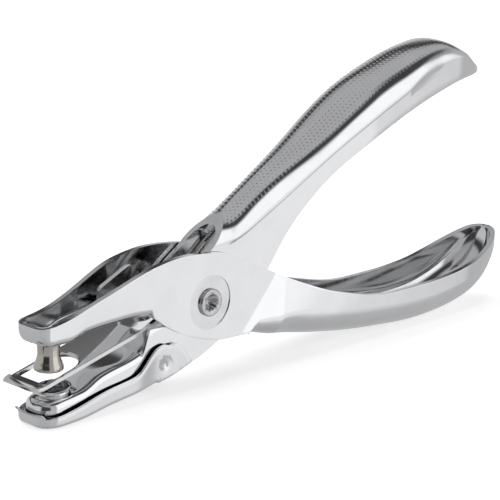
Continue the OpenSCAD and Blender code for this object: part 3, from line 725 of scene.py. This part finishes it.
# Knurl of the handle's back: staggered rows of small raised dots on a fine grid
DOT_PITCH = 1.17
DOT_STEPS = 6
ROW_STEPS = 4
DOT_R = 0.2
DOT_H = 0.13
KNURL_START = 7.0
KNURL_END = TOP_REACH - TOP_SIDE
DOT_ROWS = 29
DOT_FADE = 0.7


def knurl_stations():
    """Stations at even steps along the crown, so that the dots keep their pitch where the handle climbs."""
    x = KNURL_START
    found = []
    while x < KNURL_END:
        found.append(x)
        slope = float(soft(handle_crown, x + 0.1) - soft(handle_crown, x - 0.1)) / 0.2
        x += DOT_PITCH / DOT_STEPS / math.hypot(1, slope)
    return found


def raise_dots(rows, first, count):
    """Raises dots on a grid of rows, along its normals, fading towards the crease and the handle's end."""
    normal = np.cross(np.gradient(rows, axis=0), np.gradient(rows, axis=1))
    normal /= np.linalg.norm(normal, axis=2, keepdims=True)
    crown = rows.shape[1] // 2
    normal *= np.sign(normal[first, crown, 2])
    over = np.linalg.norm(np.gradient(rows, axis=1), axis=2)
    i, k = np.meshgrid(np.arange(len(rows)) - first, np.arange(rows.shape[1]) - crown, indexing="ij")
    row = np.round(k / ROW_STEPS)
    ahead = (i + (row % 2) * DOT_STEPS / 2 + DOT_STEPS / 2) % DOT_STEPS - DOT_STEPS / 2
    away2 = (ahead * DOT_PITCH / DOT_STEPS)**2 + ((k - row * ROW_STEPS) * over)**2
    x = rows[:, :, 0]
    fade = (1 - DOT_FADE * smooth((x - 52) / 26)) * smooth((DOT_ROWS - np.abs(k)) / 10)
    fade *= (i > 0) & (i < count - 1)
    rows += normal * (DOT_H * fade * np.clip(1 - away2 / DOT_R**2, 0, 1))[:, :, None]


def make_die_lever():
    knurl = knurl_stations()
    ramp_start = RAMP_FOOT[0] - 1
    front = (round_steps(DIE_NOSE_X, DIE_NOSE_CORNER, 18)
             + steps(DIE_NOSE_X + DIE_NOSE_CORNER, ramp_start, 0.7)
             + steps(ramp_start, NECK_FRONT, 0.35) + steps(NECK_FRONT, KNURL_START, 0.6))
    end = [TOP_REACH - d for d in round_steps(0.0, TOP_SIDE, 30)[:0:-1]] + [TOP_REACH - 0.03]
    stations = [float(s) for s in front + knurl + end]
    rows = np.array([die_row(s) for s in stations])
    raise_dots(rows, len(front), len(knurl))
    crown = rows.shape[1] // 2

    def slot_of(i, k):
        return BACK if abs(k + 0.5 - crown) < BACK_N + 2 and stations[i] > 1 else OUTSIDE

    deep = [die_row(within(s, DIE_NOSE_X, TOP_REACH, SHEET_T), SHEET_T, wall_n=3, step_n=2, back_n=7)
            for s in stations]
    obj = sheet_object("die_lever_shell", rows, deep, SHEET_METALS, slot_of=slot_of)
    xs = np.linspace(NECK_FRONT, neck_cut[-1][0], 50)
    line = [(x, float(soft(neck_cut, x, 0.8))) for x in xs]
    above = prism([(NECK_FRONT, 60)] + line + [(line[-1][0], 60)], 20)
    pad_end = NECK_FRONT + 0.01
    between = prism([(pad_end, -1), (pad_end, 40), (pad_end + 8, 40), (pad_end + 8, -1)],
                    DIE_HALF - SHEET_T - 0.02)
    hole = drill(RIVET_R + 0.05, across(0, 0), -12, 12)
    dimples = drill(HINGE_R + 0.05, across(*HINGE), -12, 12, 48)
    bore = drill(DIE_BORE, at(*DIE_TOP, DIE_TILT), -6, 6)
    cut(obj, above, between, hole, dimples, bore)
    round_edges(obj, segments=5, angle=55)
    shade(obj, 20)
    dress(obj, "die_half", "chrome", (), "die_lever")


# Chip tray

TRAY_LIP = -15.5
TRAY_REAR = HINGE[0] + TRAY_TAIL
TRAY_BEND = 1.2
HOOK_H = 0.8
HOOK_REACH = 0.75
NOTCH_X = TRAY_FRONT + 1.0
tray_rim = [
    (-43.0, -16.4), (-37.7, -15.6), (-28, -13.4), (-20.6, -12.3), (-19.6, -11.9), (-15.5, -8.0),
    (-14.6, -7.4), (-12.5, -6.9), (-11.2, -7.35), (-9.2, -7.3), (-8.3, -7.8), (TRAY_REAR, -12)]
tray_floor = [
    (TRAY_FRONT, -PIVOT_H), (-37, -PIVOT_H), (-26.6, -17.1), (-19.5, -16.3), (HINGE[0], -14.9),
    (-8.4, -13.9), (TRAY_REAR, -12.4)]
FLOOR_END = HINGE[0] - 2


def tray_row(x, t=0.0, hook_n=6, wall_n=8, corner_n=8, floor_n=4):
    """Section of the tray at a depth t in the sheet; the front rim stands higher and curls forward."""
    lip = 1 - float(smooth((x - t - NOTCH_X + 0.15) / 0.5))
    z_rim = mix(float(soft(tray_rim, x, 0.3)), TRAY_LIP, lip)
    d = x - TRAY_FRONT - t
    round_r = TRAY_CORNER - t
    inset = float(quarter(d, round_r))
    web = float(soft(tray_floor, x, 1.5)) + t + float(quarter(d, TRAY_ROUND - t))
    web -= 3 * float(smooth((x - FLOOR_END) / RAMP))
    half = TRAY_HALF - t - inset
    r = max(LEAST_BEND, min(TRAY_BEND - t, half - 0.6, (z_rim - web) * 0.4))
    down = np.linspace(0, 1, hook_n, endpoint=False)
    curl = HOOK_REACH * lip * (1 - down) ** 2
    hook_z = z_rim - HOOK_H * down + 0.1 * lip * (1 - down)
    ahead = 1 - min(1, d / round_r)
    aside = math.sqrt(max(0, 1 - ahead**2))
    near = [(x - ahead * c, -half - aside * c, z) for c, z in zip(curl, hook_z)]
    wall_z = np.linspace(z_rim - HOOK_H, web + r, wall_n)
    near += [(x, -half + TRAY_LEAN * (wall_z[0] - z), z) for z in wall_z]
    half -= TRAY_LEAN * (wall_z[0] - wall_z[-1])
    turn = np.linspace(0, math.pi / 2, corner_n)[1:]
    near += [(x, -half + r * (1 - math.cos(a)), web + r * (1 - math.sin(a))) for a in turn]
    near += [(x, y, web) for y in np.linspace(-half + r, 0, floor_n + 1)[1:]]
    return near + [(px, -y, z) for px, y, z in near[-2::-1]]


def make_chip_tray():
    stations = (round_steps(TRAY_FRONT, TRAY_CORNER, 34) + steps(TRAY_FRONT + TRAY_CORNER, -22, 0.7)
                + steps(-22, FLOOR_END, 0.45) + steps(FLOOR_END, TRAY_REAR, 0.45) + [TRAY_REAR])
    stations = sorted(set(round(float(s), 4) for s in stations))
    deep = [tray_row(within(s, TRAY_FRONT, TRAY_REAR + 100, TRAY_SKIN), TRAY_SKIN) for s in stations]
    obj = sheet_object("chip_tray_shell", [tray_row(s) for s in stations], deep, SHEET_METALS,
                       capped=(True, False))
    xs = np.linspace(FLOOR_END, TRAY_REAR + 1, 40)
    edge = [(x, float(soft(tray_floor, x, 0.6))) for x in xs]
    cut(obj, prism([(FLOOR_END, -40)] + edge + [(TRAY_REAR + 1, -40)], 20))
    dish = [
        (0, -0.46), (0.35, -0.44), (0.62, -0.38), (0.8, -0.24), (1.0, -0.17), (1.4, -0.1), (1.75, -0.03),
        (1.95, 0.02), (1.95, 2), (0, 2)]
    dish = [(r, TRAY_FACE + h) for r, h in dish]
    for side in (-1, 1):
        cut(obj, lathe("cutter", dish, across_to(side, *HINGE), 64))
    round_edges(obj, 0.16, 2)
    shade(obj)
    dress(obj, "tray", "chrome", (), "chip_tray")
    face = -(TRAY_FACE - TRAY_SKIN + 0.01)
    profile = [
        (0, face), (HINGE_R, face), (HINGE_R, face + 1.3), (HINGE_R - 0.25, face + 1.55), (0, face + 1.6)]
    for side, name in ((-1, "tray_hinge_far"), (1, "tray_hinge_near")):
        pin = lathe(name, profile, across_to(-side, *HINGE), 48)
        shade(pin)
        dress(pin, "tray", "chrome", [chrome])


# Rivets, pin and die

def rolled(r, h, base=0.0, edge=0.35, n=7):
    """Profile of a rolled rivet head, from its rim's underside over the top."""
    points = [(r - 0.12, base)]
    for i in range(n):
        a = math.radians(-30 + 120 * i / (n - 1))
        points.append((r - edge + edge * math.cos(a), base + h - edge + edge * math.sin(a)))
    return points


def make_pivot_rivet():
    """Tubular rivet with rolled heads and a punched six-point hollow in each end."""
    seat = CHEEK_HALF - COIN_DEPTH + 0.02
    head = rolled(RIVET_HEAD_R, 0.75, seat)
    hollow = [(2.0, 0.72), (1.75, 0.55), (1.5, 0.1), (0.75, -0.9), (0, -1.25)]
    hollow = [(r, seat + h) for r, h in hollow]

    def star(r, h, a):
        depth = np.clip((seat + 0.6 - abs(h)) / 0.6, 0, 1) if abs(h) > seat - 1.3 and r < 1.9 else 0
        return r * (1 + 0.16 * float(depth) * math.cos(6 * a)), h

    upper = [(RIVET_R, 0), (RIVET_R, seat)] + head + hollow
    lower = [(r, -h) for r, h in upper[::-1]]
    obj = lathe("pivot_rivet_tube", lower + upper[1:], across(0, 0), 96, star)
    shade(obj, 30)
    dress(obj, "punch_half", "nickel", [die_steel], "pivot_rivet")


def make_punch_pin():
    """Turned pin: a flared cutting head, a waisted shank and a rolled head on the jaw's floor."""
    shoulder = -NOSE_DROP + 0.4
    floor_top = -NOSE_DROP + SHEET_T + 0.02
    cutter = [(-CUTTER_R, 0.35), (-0.75, 0.25), (-0.22, 0.02), (-0.1, 0), (0, 0.12), (0, 0.85), (-0.08, 1.1)]
    waist = [(2.76, 1.65), (2.55, 2.15), (2.4, 2.7), (2.32, 3.3), (2.3, 3.9), (2.34, 4.6)]
    profile = [(CUTTER_R + r, PIN_TIP + h) for r, h in cutter] + [(r, PIN_TIP + h) for r, h in waist]
    profile += [(2.45, shoulder - 0.6), (PIN_R - 0.02, shoulder - 0.1), (PIN_R - 0.1, shoulder)]
    profile += [(PIN_NECK_R, shoulder), (PIN_NECK_R, floor_top)]
    profile += rolled(1.75, 0.95, floor_top) + [(0, floor_top + 1.0)]
    obj = lathe("punch_pin_turned", profile, at(PIN_X, 0))
    shade(obj, 32)
    dress(obj, "punch_half", "nickel", [nickel], "punch_pin")


def make_die_ring():
    """Drawn die: a sharp rim on a dished neck that flares out on the jaw's floor."""
    foot = -2.5
    profile = [(DIE_BORE, foot), (DIE_BORE, -0.08), (DIE_BORE + 0.08, 0), (DIE_R - 0.14, 0), (DIE_R, -0.14)]
    for i in range(13):
        a = math.radians(8 + 82 * i / 12)
        r = DIE_R - 0.55 * math.sin(2 * a) + 0.35 * (1 - math.cos(a)) ** 2
        profile.append((r, -0.16 - 1.12 * i / 12))
    profile += [(DIE_R + 0.38, -DIE_RISE), (DIE_R - 0.02, -DIE_RISE - 0.02), (DIE_R - 0.02, foot)]
    profile += [(DIE_BORE, foot)]
    obj = lathe("die_crater", profile, at(*DIE_TOP, DIE_TILT))
    shade(obj, 32)
    dress(obj, "die_half", "die_steel", [chrome], "die_ring")


# Stripper plate

STRIP_HALF = 5.15
STRIP_FRONT = PIN_X - 6.4
STRIP_REAR = -11.9
STRIP_REAR_HALF = 3.4
TAPER_START = PIN_X + 18.0
LIP_R = 4.6
LIP_TURN = 86.0
SLOT_HALF = 4.35
SLOT_FRONT = STRIP_FRONT + 0.8
SLOT_REAR = PIN_X + 6.0


def strip_row(u, t=0.0, flat_n=12):
    """Row across the stripper plate at a length along it and a depth t; the lip curls up in front."""
    if u < STRIP_FRONT:
        a = (STRIP_FRONT - u) / LIP_R
        r_here = LIP_R - STRIP_T + t
        x = STRIP_FRONT - r_here * math.sin(a)
        z = STRIP_TOP + LIP_R - STRIP_T - r_here * math.cos(a)
        share = math.sin(a) / math.sin(math.radians(LIP_TURN))
        half = STRIP_HALF * math.sqrt(max(0.0, 1 - share**2))
    else:
        x, z = u, STRIP_TOP - t
        taper = float(smooth((u - TAPER_START) / (STRIP_REAR - TAPER_START)))
        half = mix(STRIP_HALF, STRIP_REAR_HALF, taper)
    near = [(x, mix(-half, 0, i / flat_n), z) for i in range(flat_n + 1)]
    row = near + [(px, -y, pz) for px, y, pz in near[-2::-1]]
    return [(jaw(px, pz)[0], y, jaw(px, pz)[1]) for px, y, pz in row]


def make_stripper():
    lip_length = math.radians(LIP_TURN) * LIP_R
    tip = STRIP_FRONT - lip_length
    stations = (round_steps(tip, lip_length, 26)[1:] + [tip + 0.004] + steps(STRIP_FRONT, STRIP_REAR, 0.8)
                + [STRIP_REAR])
    stations = sorted(set(round(float(s), 4) for s in stations))
    deep = [strip_row(s, STRIP_T) for s in stations]
    obj = sheet_object("stripper_frame", [strip_row(s) for s in stations], deep, [chrome, chrome, rim],
                       capped=(False, False))
    round_end = [(SLOT_REAR - SLOT_HALF + SLOT_HALF * math.cos(a), SLOT_HALF * math.sin(a))
                 for a in np.linspace(-math.pi / 2, math.pi / 2, 33)]
    corner = [(0.6, 0), (0.17, 0.17), (0, 0.6)]
    front = [(SLOT_FRONT + x, SLOT_HALF - y) for x, y in corner]
    front += [(x, -y) for x, y in front[::-1]]
    rings = []
    for h in (-8, 8):
        spots = [(jaw(x, h), y) for x, y in round_end + front]
        rings.append([(px, y, pz) for (px, pz), y in spots])
    cut(obj, block(*rings))
    round_edges(obj, 0.16, 2)
    shade(obj)
    dress(obj, "die_half", "chrome", (), "stripper_plate")


def make_stripper_rivet():
    top = STRIP_TOP + 0.02
    profile = [(0, -2.75), (1.5, -2.75), (1.7, -2.6), (1.7, -2.2), (1.1, -2.05), (1.1, 0.0)]
    profile += rolled(2.0, 0.62, 0.0, 0.3) + [(1.0, 0.66), (0.6, 0.55), (0, 0.5)]
    obj = lathe("stripper_rivet_head", profile, at(*jaw(-13.8, top), JAW_TILT), 72)
    shade(obj, 32)
    dress(obj, "die_half", "nickel", [nickel], "stripper_rivet")


# Return spring

WIRE_R = 0.65
COIL_R = (RIVET_R + 0.35 + WIRE_R) / math.cos(math.radians(22.5))
TURN_PITCH = 2 * WIRE_R + 0.9
ARM_UP = (12.4, 14.1)
ARM_LOW = (30, -11.5)


def arm_angle(p, side):
    """Direction of the straight arm that leaves the coil on one side and ends at a point."""
    reach = math.hypot(*p)
    return math.degrees(math.atan2(p[1], p[0]) - side * math.atan2(COIL_R, math.sqrt(reach**2 - COIL_R**2)))


def make_spring():
    start = arm_angle(ARM_LOW, -1) - 90
    leave = arm_angle(ARM_UP, 1) + 90
    sweep = (start - leave + 720) % 360 + 720
    half_y = TURN_PITCH * sweep / 720
    rings = 150
    coil = []
    for i in range(rings + 1):
        a = math.radians(start - sweep * i / rings)
        coil.append(Vector((COIL_R * math.cos(a), mix(-half_y, half_y, i / rings), COIL_R * math.sin(a))))
    low = Vector((ARM_LOW[0], -half_y, ARM_LOW[1]))
    up = Vector((ARM_UP[0], half_y, ARM_UP[1]))
    path = [low.lerp(coil[0], i / 24) for i in range(24)] + coil
    path += [coil[-1].lerp(up, i / 16) for i in range(1, 17)]
    bm = bmesh.new()
    sides = 18
    around = [2 * math.pi * k / sides for k in range(sides)]
    rounded = [0.55, 0.95, 1.0]
    tube = []
    for i, p in enumerate(path):
        t = (path[min(i + 1, len(path) - 1)] - path[max(i - 1, 0)]).normalized()
        u = t.cross(Vector((0, 1, 0))).normalized()
        v = t.cross(u)
        for r in rounded if i == 0 else rounded[::-1] if i == len(path) - 1 else [1.0]:
            centre = p + t * (WIRE_R * 0.2 * (1 - r) * (-1 if i == 0 else 1))
            ring = place([centre + (u * math.cos(a) + v * math.sin(a)) * WIRE_R * r for a in around])
            tube.append([bm.verts.new(q) for q in ring])
    for a, b in zip(tube, tube[1:]):
        for k in range(sides):
            bm.faces.new([a[k], b[k], b[(k + 1) % sides], a[(k + 1) % sides]])
    bm.faces.new(tube[0])
    bm.faces.new(tube[-1][::-1])
    bmesh.ops.recalc_face_normals(bm, faces=bm.faces)
    obj = new_object("return_spring_wire", bm)
    shade(obj)
    obj.data.materials.append(spring_wire)
    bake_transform(obj)
    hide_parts("torsion_spring")


# Studio

def make_camera():
    """Long lens that was fitted to the photo: its axes and its place from the pivot, in metres."""
    data = bpy.data.cameras.new("camera")
    data.lens = 144
    data.sensor_width = 36
    data.clip_start = 0.01
    data.clip_end = 20
    obj = bpy.data.objects.new("camera", data)
    right = Vector((0.6988, -0.7148, 0.0268))
    up = Vector((0.1709, 0.2032, 0.9641))
    behind = Vector((-0.6946, -0.6691, 0.2641))
    matrix = Matrix((right, up, behind)).transposed().to_4x4()
    matrix.translation = PIVOT + Vector((-0.2874, -0.2944, 0.1232))
    obj.matrix_world = matrix
    bpy.context.scene.collection.objects.link(obj)
    bpy.context.scene.camera = obj


def make_world():
    """White to the camera; to the metal, a studio with a bright card, dark flags and a soft top light."""
    world = bpy.data.worlds.new("studio")
    bpy.context.scene.world = world
    world.use_nodes = True
    tree = world.node_tree
    background = tree.nodes["Background"]
    direction = tree.nodes.new("ShaderNodeTexCoord").outputs["Generated"]
    height = linked(tree, "ShaderNodeSeparateXYZ", Vector=direction).outputs["Z"]
    level = linked(tree, "ShaderNodeMath", i0=height, i1=0.5)
    level.operation = "MULTIPLY_ADD"
    level.inputs[2].default_value = 0.5

    def sky(*stops):
        """Grey levels by elevation in degrees."""
        return ramp(tree, level.outputs[0], [(0.5 + 0.5 * math.sin(math.radians(e)), (v, v, v * 1.01))
                                             for e, v in stops], "LINEAR")

    top = ((54, 0.06), (68, 0.05), (76, 0.38), (82, 0.45))
    card = sky((-90, 0.38), (-60, 0.43), (-45, 0.49), (-30, 0.69), (-23, 0.9), (-10, 0.93), (-5, 1.15),
               (42, 1.15), (48, 0.6), *top)
    front = sky((-90, 0.38), (-60, 0.42), (-40, 0.49), (-20, 0.52), (30, 0.48), (48, 0.35), *top)
    behind = sky((-90, 0.38), (-40, 0.49), (-20, 0.5), (-8, 0.6), (14, 0.62), (20, 0.3), (25, 0.05),
                 (33, 0.05), (38, 0.4), (45, 0.45), (90, 0.45))
    flag = sky((-90, 0.38), (-30, 0.46), (-13, 0.5), (-8, 0.12), (-3, 0.05), (22, 0.05), (32, 0.35),
               (90, 0.45))
    level_way = linked(tree, "ShaderNodeVectorMath", i0=direction, i1=(1, 1, 0))
    level_way.operation = "MULTIPLY"
    way = linked(tree, "ShaderNodeVectorMath", i0=level_way.outputs["Vector"])
    way.operation = "NORMALIZE"

    def towards(azimuth, full, none):
        """Share that is 1 within an angle of an azimuth and 0 beyond a wider one."""
        a = math.radians(azimuth)
        aim = (math.cos(a), math.sin(a), 0)
        near = linked(tree, "ShaderNodeVectorMath", i0=way.outputs["Vector"], i1=aim)
        near.operation = "DOT_PRODUCT"
        share = linked(tree, "ShaderNodeMath", i0=near.outputs["Value"], i1=0.5)
        share.operation = "MULTIPLY_ADD"
        share.inputs[2].default_value = 0.5
        return ramp(tree, share.outputs[0], [(0.5 + 0.5 * math.cos(math.radians(none)), (0, 0, 0)),
                                             (0.5 + 0.5 * math.cos(math.radians(full)), (1, 1, 1))])

    lit = linked(tree, "ShaderNodeMixRGB", Fac=towards(-65, 60, 85), Color1=behind, Color2=front)
    lit = linked(tree, "ShaderNodeMixRGB", Fac=towards(-63, 18, 30), Color1=lit.outputs[0], Color2=card)
    lit = linked(tree, "ShaderNodeMixRGB", Fac=towards(-152, 22, 36), Color1=lit.outputs[0], Color2=flag)
    light = tree.nodes.new("ShaderNodeLightPath")
    seen = linked(tree, "ShaderNodeMixRGB", Fac=light.outputs["Is Camera Ray"], Color1=lit.outputs[0],
                  Color2=(1, 1, 1, 1))
    tree.links.new(seen.outputs[0], background.inputs["Color"])
    background.inputs["Strength"].default_value = 1.0


def make_floor():
    """Pale table: white to the camera, with the object's soft shadow on it."""
    bm = bmesh.new()
    bmesh.ops.create_grid(bm, x_segments=1, y_segments=1, size=2.0)
    floor = new_object("floor", bm)
    floor.location.z = cad_box[0][2] - 0.0002
    material = bpy.data.materials.new("pale_table")
    material.use_nodes = True
    tree = material.node_tree
    tree.nodes.remove(tree.nodes["Principled BSDF"])
    matte = linked(tree, "ShaderNodeBsdfDiffuse", Color=(0.9, 0.9, 0.9, 1))
    glow = linked(tree, "ShaderNodeEmission", Color=(1, 1, 1, 1), Strength=0.55)
    both = linked(tree, "ShaderNodeAddShader", i0=matte.outputs[0], i1=glow.outputs[0])
    light = tree.nodes.new("ShaderNodeLightPath")
    seen = linked(tree, "ShaderNodeMixShader", Fac=light.outputs["Is Camera Ray"], i1=matte.outputs[0],
                  i2=both.outputs[0])
    tree.links.new(seen.outputs[0], tree.nodes["Material Output"].inputs["Surface"])
    floor.data.materials.append(material)
    floor.visible_glossy = False


def make_lamp():
    data = bpy.data.lights.new("soft_top_light", "SUN")
    data.energy = 1.2
    data.angle = math.radians(60)
    lamp = bpy.data.objects.new("soft_top_light", data)
    lamp.rotation_euler = (math.radians(-18), math.radians(-14), 0)
    lamp.visible_glossy = False
    bpy.context.scene.collection.objects.link(lamp)


make_camera()
make_punch_lever()
make_stop_lug()
make_die_lever()
make_chip_tray()
make_pivot_rivet()
make_punch_pin()
make_die_ring()
make_stripper()
make_stripper_rivet()
make_spring()
make_world()
make_floor()
make_lamp()
bpy.context.scene.view_settings.view_transform = "Standard"
